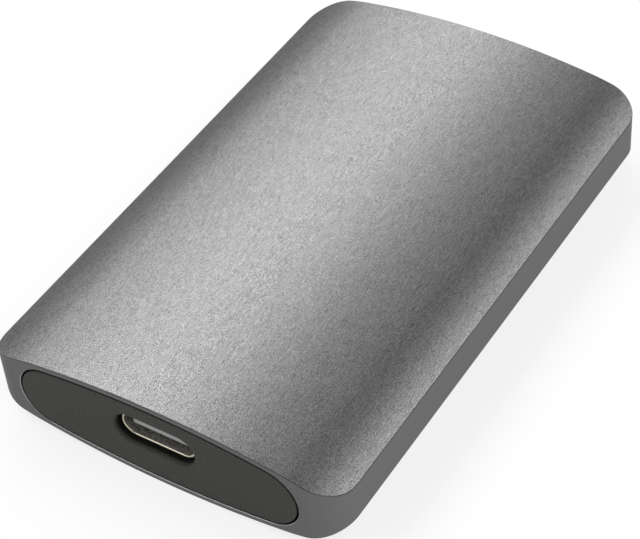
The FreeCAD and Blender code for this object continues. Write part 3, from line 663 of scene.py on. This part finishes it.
class DRIVE_OT_make_caps(bpy.types.Operator):
    """Models the two moulded caps, and the port's hole with its rounded lip in the front one"""

    bl_idname = "drive.make_caps"
    bl_label = "Make Caps"

    def execute(self, context):
        sizes = context.scene.drive_sizes
        finish = moulded_cap(context.scene.drive_colours)
        front = self.make_cap("port_cap", FRONT_CAP_LOW.y, 1, sizes)
        self.cut_port(front, sizes)
        rear = self.make_cap("plain_cap", REAR_CAP_FACE, -1, sizes)
        for piece, node in ((front, "front_cap"), (rear, "rear_cap")):
            smooth(piece)
            paint(piece, finish)
            settle(piece, "cap_plastic", node)
        return {"FINISHED"}

    def make_cap(self, name, face, inward, sizes):
        """A plate flush with the tube's end, with a skirt behind it."""
        piece = add_mouth_outline(name, FRONT_CAP_HIGH.x, CAP_HALF_HEIGHT, face, sizes)
        thicken(inward * (FRONT_CAP_HIGH.y - FRONT_CAP_LOW.y))
        bpy.ops.mesh.inset(thickness=sizes.skirt_wall, depth=0)
        thicken(-inward * sizes.skirt_depth)
        point_outwards()
        pick(piece, "EDGE", lambda edge: all(abs(v.co.y - face) < MERGE for v in edge.verts))
        bevel(sizes.cap_edge, CAP_EDGE_SEGMENTS)
        # The visible face becomes two halves, because a face can't have the port's hole in it.
        bpy.ops.mesh.select_all(action="SELECT")
        bpy.ops.mesh.bisect(plane_co=(0, 0, 0), plane_no=(1, 0, 0), threshold=MERGE)
        bpy.ops.object.mode_set(mode="OBJECT")
        return piece

    def cut_port(self, piece, sizes):
        """The port's hole, as wide as the socket's shell and its clearance, and its lip."""
        half_width = SHELL_HIGH.x + sizes.port_clearance
        top = SHELL_HIGH.z + sizes.port_clearance
        half_height = SHELL_ROUND + sizes.port_clearance
        low = Vector((-half_width, FRONT_CAP_LOW.y - MM, top - 2 * half_height))
        high = Vector((half_width, FRONT_CAP_HIGH.y, top))
        hole = add_block("port_hole", low, high)
        round_along(hole, 1, half_height * FULL_ROUND, PORT_SEGMENTS)
        cut(piece, hole)
        bpy.ops.object.mode_set(mode="EDIT")
        pick(
            piece, "EDGE",
            lambda edge: all(
                abs(v.co.y - FRONT_CAP_LOW.y) < MERGE and abs(v.co.x) < half_width + MERGE
                and low.z - MERGE < v.co.z < top + MERGE for v in edge.verts
            ) and any(abs(face.normal.y) < LEANING for face in edge.link_faces),
        )
        bevel(sizes.port_lip, LIP_SEGMENTS)
        bpy.ops.object.mode_set(mode="OBJECT")


class DRIVE_OT_make_socket(bpy.types.Operator):
    """Rounds the rim of the socket's drawn shell and finishes the tongue and its contacts"""

    bl_idname = "drive.make_socket"
    bl_label = "Make Socket"

    def execute(self, context):
        sizes = context.scene.drive_sizes
        colours = context.scene.drive_colours
        self.make_shell(sizes, colours)
        self.make_tongue(sizes, colours)
        # Thin gold over stamped copper, warm and bright even down in the dark port
        gold = bare_metal(
            "gold_plated_copper_stamped", colours.gold,
            mark=0.1, roughness=0.25, spread=0.05, depth=0.0005,
        )
        paint(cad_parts["socket_contacts"], gold)
        return {"FINISHED"}

    def make_shell(self, sizes, colours):
        """The drawn shell with a rounded rim, bright outside and dull inside."""
        shell = self.merged_copy("socket_shell", "drawn_shell")
        pick(
            shell, "EDGE",
            lambda edge: all(abs(v.co.y - SHELL_LOW.y) < MERGE for v in edge.verts)
            and any(abs(face.normal.y) < LEANING for face in edge.link_faces),
        )
        bevel(sizes.rim_round, RIM_SEGMENTS)
        bpy.ops.mesh.select_all(action="SELECT")
        bpy.ops.mesh.quads_convert_to_tris(quad_method="BEAUTY", ngon_method="BEAUTY")
        bpy.ops.mesh.dissolve_degenerate(threshold=NEAR)
        bpy.ops.object.mode_set(mode="OBJECT")
        smooth(shell)
        # Nickel on drawn steel, smooth and slightly warm, so that the rim shows as one bright line
        outside = bare_metal(
            "nickel_plated_steel_drawn", colours.plating,
            mark=0.3, roughness=0.28, spread=0.06, depth=0.0005,
        )
        # The same nickel inside the shell, duller and with blurred dark patches
        inside = bare_metal(
            "nickel_plated_steel_dull", colours.lining,
            mark=0.3, roughness=0.48, spread=0.4, depth=0.0005,
        )
        paint(shell, outside, inside)
        middle = Vector((0, 0, SHELL_HIGH.z - SHELL_ROUND))
        for face in shell.data.polygons:
            inward = middle - face.center
            inward.y = 0
            if abs(face.normal.y) < ACROSS and inward.dot(face.normal) > 0:
                face.material_index = 1
        settle(shell, "socket_steel", "socket_shell")

    def make_tongue(self, sizes, colours):
        """The moulded block and tongue, with the tongue's nose drawn forward."""
        tongue = self.merged_copy("socket_insulator", "moulded_tongue")
        pick(tongue, "VERT", lambda v: v.co.y < TONGUE_FRONT + TONGUE_NOSE)
        bpy.ops.transform.translate(value=(0, -sizes.tongue_reach, 0))
        bpy.ops.object.mode_set(mode="OBJECT")
        smooth(tongue)
        # Liquid crystal polymer, a smooth satin grey that stands out in the dark port
        resin = plain_finish("lcp_resin_moulded", colours.resin, mark=0.1, roughness=0.5, spread=0.05)
        paint(tongue, resin)
        settle(tongue, "socket_resin", "socket_insulator")

    def merged_copy(self, node, name):
        """Copies a node's mesh, merges its loose triangles, joins the flat ones and stays in edit mode."""
        piece = bpy.data.objects.new(name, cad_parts[node].data.copy())
        piece.data.name = name
        bpy.context.scene.collection.objects.link(piece)
        start(piece)
        bpy.ops.object.mode_set(mode="EDIT")
        bpy.ops.mesh.select_all(action="SELECT")
        bpy.ops.mesh.remove_doubles(threshold=MERGE)
        bpy.ops.mesh.dissolve_limited(angle_limit=FLAT_ANGLE)
        return piece


class DRIVE_OT_finish_inside(bpy.types.Operator):
    """Finishes the pieces inside the tube"""

    bl_idname = "drive.finish_inside"
    bl_label = "Finish Inside"

    def execute(self, context):
        finishes = {
            # Even matte near-black
            plain_finish("pc_tray_moulded", linear("#2e2e30"), mark=0.2, roughness=0.6): ("carrier_tray",),
            # Green solder mask with a low gloss over the weave
            plain_finish("glass_epoxy_laminate", linear("#1c4a30"), mark=0.5, roughness=0.35): (
                "main_board",
            ),
            # Pale, slightly blue metal
            bare_metal("zinc_plated_steel", linear("#b9bcc0"), mark=0.1, roughness=0.35): ("board_screws",),
            # Fine matte black of a blasted mould
            plain_finish("epoxy_package_moulded", linear("#232325"), mark=0.12, roughness=0.6): (
                "flash_package_left", "flash_package_right", "flash_controller", "bridge_chip",
                "buffer_memory", "firmware_memory", "bridge_regulator", "controller_regulator",
            ),
            # Warm bright metal
            bare_metal("nickel_lid_seam_welded", linear("#c8c6c0"), mark=0.2, roughness=0.3): (
                "bridge_crystal", "controller_crystal",
            ),
            # Dry dark grey with a sandy surface
            plain_finish("ferrite_pressed", linear("#4a4a4d"), mark=0.1, roughness=0.75): (
                "bridge_inductor", "controller_inductor",
            ),
            # Tan body of fired ceramic
            plain_finish("ceramic_fired", linear("#b08a62"), mark=0.08, roughness=0.5): ("capacitors",),
            # Glossy black glass
            plain_finish("resistor_glaze", linear("#1f1f22"), mark=0.08, roughness=0.3): ("resistors",),
            # Soft pale blue-grey without gloss
            plain_finish("silicone_gap_filler", linear("#9aa3ad"), mark=0.3, roughness=0.8): (
                "thermal_pad",
            ),
        }
        for finish, nodes in finishes.items():
            for node in nodes:
                paint(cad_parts[node], finish)
        return {"FINISHED"}


# Stage


def add_soft_box(name, degrees, distance, width, radiance):
    """Adds a long soft box that hangs beside the drive, parallel to it, at an angle from overhead."""
    lamp = bpy.data.lights.new(name, "AREA")
    lamp.shape = "RECTANGLE"
    lamp.size = width
    lamp.size_y = BOX_SPAN
    lamp.energy = pi * width * BOX_SPAN * radiance
    box = bpy.data.objects.new(name, lamp)
    angle = radians(degrees)
    box.location = (distance * sin(angle), BOX_MIDDLE, distance * cos(angle))
    box.rotation_euler = (0, angle, 0)
    bpy.context.scene.collection.objects.link(box)


class DRIVE_OT_set_stage(bpy.types.Operator):
    """Sets the pale floor, the soft light and the camera"""

    bl_idname = "drive.set_stage"
    bl_label = "Set Stage"

    def execute(self, context):
        studio = context.scene.drive_studio
        self.lay_floor()
        add_soft_box(*KEY_BOX, studio.key)
        add_soft_box(*LOW_PANEL, studio.low)
        add_soft_box(*FILL_BOX, studio.fill)
        self.light_room(studio)
        self.set_camera(studio)
        context.scene.view_settings.view_transform = "Standard"
        return {"FINISHED"}

    def lay_floor(self):
        """A white paper floor that keeps the drive's soft shadow."""
        start()
        bpy.ops.mesh.primitive_circle_add(
            vertices=FLOOR_SIDES, radius=FLOOR_RADIUS, fill_type="NGON",
            location=(0, 0, HOUSING_LOW.z - FLOOR_GAP),
        )
        floor = named("floor")
        # Uncoated paper is matte and near-white. What the camera and the metal see of it is lifted to white.
        material, tree, _ = new_material("white_paper_floor")
        paper = add_node(tree, "ShaderNodeBsdfDiffuse", {"Color": rgba(linear("#f2f2f2"))})
        white = add_node(tree, "ShaderNodeEmission", {"Color": (1, 1, 1, 1), "Strength": 1.0})
        path = add_node(tree, "ShaderNodeLightPath").outputs
        seen = add_node(
            tree, "ShaderNodeMath", {0: path["Is Camera Ray"], 1: path["Is Glossy Ray"]},
            operation="MAXIMUM",
        ).outputs[0]
        seen = add_node(
            tree, "ShaderNodeMath", {0: seen, 1: path["Is Transmission Ray"]}, operation="MAXIMUM",
        ).outputs[0]
        share = add_node(
            tree, "ShaderNodeMath", {0: seen, 1: FLOOR_WHITE}, operation="MULTIPLY",
        ).outputs[0]
        shader = add_node(
            tree, "ShaderNodeMixShader", {"Fac": share, 1: paper.outputs[0], 2: white.outputs[0]},
        )
        paint(floor, finish_material(material, shader))

    def light_room(self, studio):
        """A dim even room."""
        world = bpy.data.worlds.new("studio_room")
        world.use_nodes = True
        tree = world.node_tree
        tree.nodes.clear()
        room = add_node(tree, "ShaderNodeBackground", {"Color": (1, 1, 1, 1), "Strength": studio.room})
        add_node(tree, "ShaderNodeOutputWorld", {"Surface": room.outputs[0]})
        bpy.context.scene.world = world

    def set_camera(self, studio):
        """The photograph's view."""
        turn, rise = studio.azimuth, studio.elevation
        back = Vector((sin(turn) * cos(rise), -cos(turn) * cos(rise), sin(rise)))
        right = Vector((cos(turn), sin(turn), 0))
        up = back.cross(right)
        stand = Matrix((right, up, back)).transposed()
        stand = stand @ Matrix.Rotation(studio.roll, 3, "Z")
        lens = bpy.data.cameras.new("camera")
        lens.sensor_fit = "HORIZONTAL"
        lens.sensor_width = SENSOR_WIDTH
        lens.lens = studio.lens
        lens.clip_start = MM
        camera = bpy.data.objects.new("camera", lens)
        place = Vector(studio.aim) + back * studio.distance
        camera.matrix_world = Matrix.Translation(place) @ stand.to_4x4()
        bpy.context.scene.collection.objects.link(camera)
        bpy.context.scene.camera = camera


class DRIVE_PT_build(bpy.types.Panel):
    """Lists the drive's steps, sizes, colours and studio"""

    bl_label = "Pocket Drive"
    bl_space_type = "VIEW_3D"
    bl_region_type = "UI"
    bl_category = "Drive"

    def draw(self, context):
        for step in STEPS:
            self.layout.operator(step.bl_idname)
        for scene_name, kind in GROUPS.items():
            group = getattr(context.scene, scene_name)
            for name in kind.__annotations__:
                self.layout.prop(group, name)


STEPS = (
    DRIVE_OT_make_housing, DRIVE_OT_make_caps, DRIVE_OT_make_socket,
    DRIVE_OT_finish_inside, DRIVE_OT_set_stage,
)
GROUPS = {"drive_sizes": DriveSizes, "drive_colours": DriveColours, "drive_studio": StudioSettings}
CLASSES = (*GROUPS.values(), *STEPS, DRIVE_PT_build)


def register():
    """Registers the classes and puts their settings on the scene."""
    for kind in CLASSES:
        bpy.utils.register_class(kind)
    for name, group in GROUPS.items():
        setattr(bpy.types.Scene, name, PointerProperty(type=group))


def unregister():
    """Takes the settings and the classes away again."""
    for name in GROUPS:
        delattr(bpy.types.Scene, name)
    for kind in reversed(CLASSES):
        bpy.utils.unregister_class(kind)


def main():
    """Builds the drive and its stage."""
    register()
    bpy.ops.drive.make_housing()
    bpy.ops.drive.make_caps()
    bpy.ops.drive.make_socket()
    bpy.ops.drive.finish_inside()
    bpy.ops.drive.set_stage()


if __name__ == "__main__":
    main()
